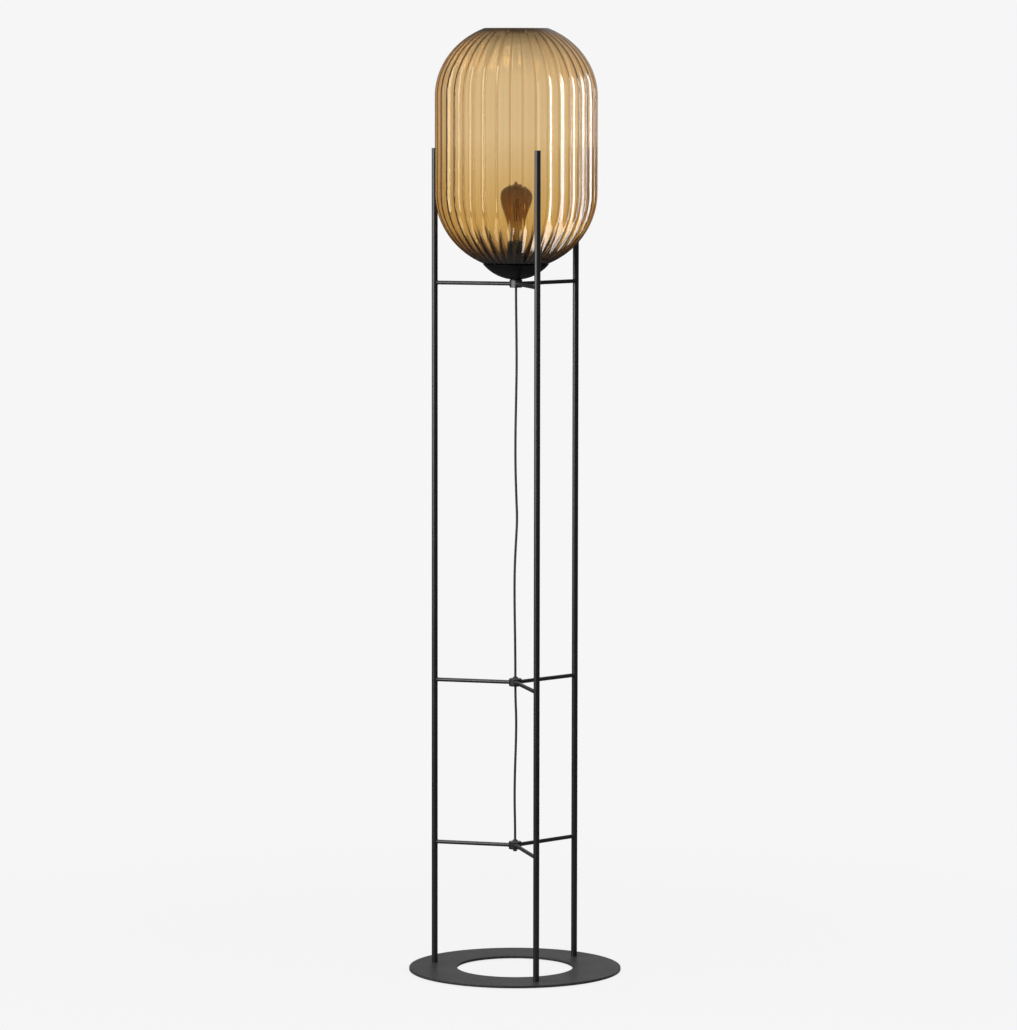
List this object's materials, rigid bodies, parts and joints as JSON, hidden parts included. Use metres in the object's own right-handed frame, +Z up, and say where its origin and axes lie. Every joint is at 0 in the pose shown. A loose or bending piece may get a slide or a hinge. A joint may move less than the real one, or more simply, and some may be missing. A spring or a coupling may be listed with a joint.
{
  "type": "floor lamp",
  "caption": "Tall floor lamp: black tubes on a flat ring base carry a ribbed amber glass capsule shade, open at the top, in a small dish over a screw lampholder.",
  "frame": {"origin": "on the floor under the middle of the ring base, on the axis of the shade", "axes": "+Z up along the axis of the shade, -Y towards the front pole, +X to the right seen from the front"},
  "size_m": [0.35, 0.35, 1.552],
  "materials": {
    "black_frame": "satin black powder coat",
    "floor_pad": "matt foam",
    "zinc_steel": "zinc plated",
    "black_rubber": "matt",
    "black_cord": "matt sleeve",
    "amber_glass": "mould-blown, ribbed outside",
    "black_moulding": "moulded",
    "white_ceramic": "fired ceramic",
    "contact_brass": "stamped",
    "smoked_glass": "blown, brown tinted",
    "bulb_cap_brass": "pressed",
    "black_vitrite": "glassy",
    "solder": "tinned",
    "clear_glass": "drawn",
    "filament": "coated"
  },
  "bodies": {
    "frame": {"base_ring": "black_frame", "base_screws": "zinc_steel", "centre_contact": "contact_brass", "cord_bush": "black_rubber", "cord_gland": "black_rubber", "cup_washer": "black_frame", "floor_pads": "floor_pad", "holder_cap": "black_moulding", "holder_core": "white_ceramic", "holder_skirt": "black_moulding", "lower_arm_front": "black_frame", "lower_arm_left": "black_frame", "lower_arm_right": "black_frame", "lower_hub": "black_frame", "middle_arm_front": "black_frame", "middle_arm_left": "black_frame", "middle_arm_right": "black_frame", "middle_hub": "black_frame", "pole_caps": "black_frame", "pole_front": "black_frame", "pole_inserts": "zinc_steel", "pole_left": "black_frame", "pole_right": "black_frame", "screw_shell": "contact_brass", "shade_cup": "black_frame", "shade_gasket": "black_rubber", "supply_cord": "black_cord", "terminal_screws": "contact_brass", "threaded_nipple": "zinc_steel", "top_arm_front": "black_frame", "top_arm_left": "black_frame", "top_arm_right": "black_frame", "top_hub": "black_frame"},
    "shade": {"glass_shade": "amber_glass"},
    "bulb_tip": {"bulb_contact": "solder", "bulb_insulator": "black_vitrite"},
    "bulb": {"bulb_cap": "bulb_cap_brass", "bulb_glass": "smoked_glass", "bulb_stem": "clear_glass", "bulb_filaments": "filament"}
  },
  "joints": [
    {"name": "shade_lift", "type": "slide", "parent": "frame", "child": "shade", "axis": [0, 0, 1], "range_m": [0, 0.25]},
    {"name": "bulb_rise", "type": "slide", "parent": "frame", "child": "bulb_tip", "axis": [0, 0, 1], "range_m": [0, 0.0115]},
    {"name": "bulb_turn", "type": "hinge", "parent": "bulb_tip", "child": "bulb", "pos_m": [0, 0, 1.19], "axis": [0, 0, 1], "range_deg": [0, 1440]}
  ],
  "couplings": [
    {"joint": "bulb_rise", "follows": "bulb_turn", "m_per_rad": 0.00044882}
  ]
}
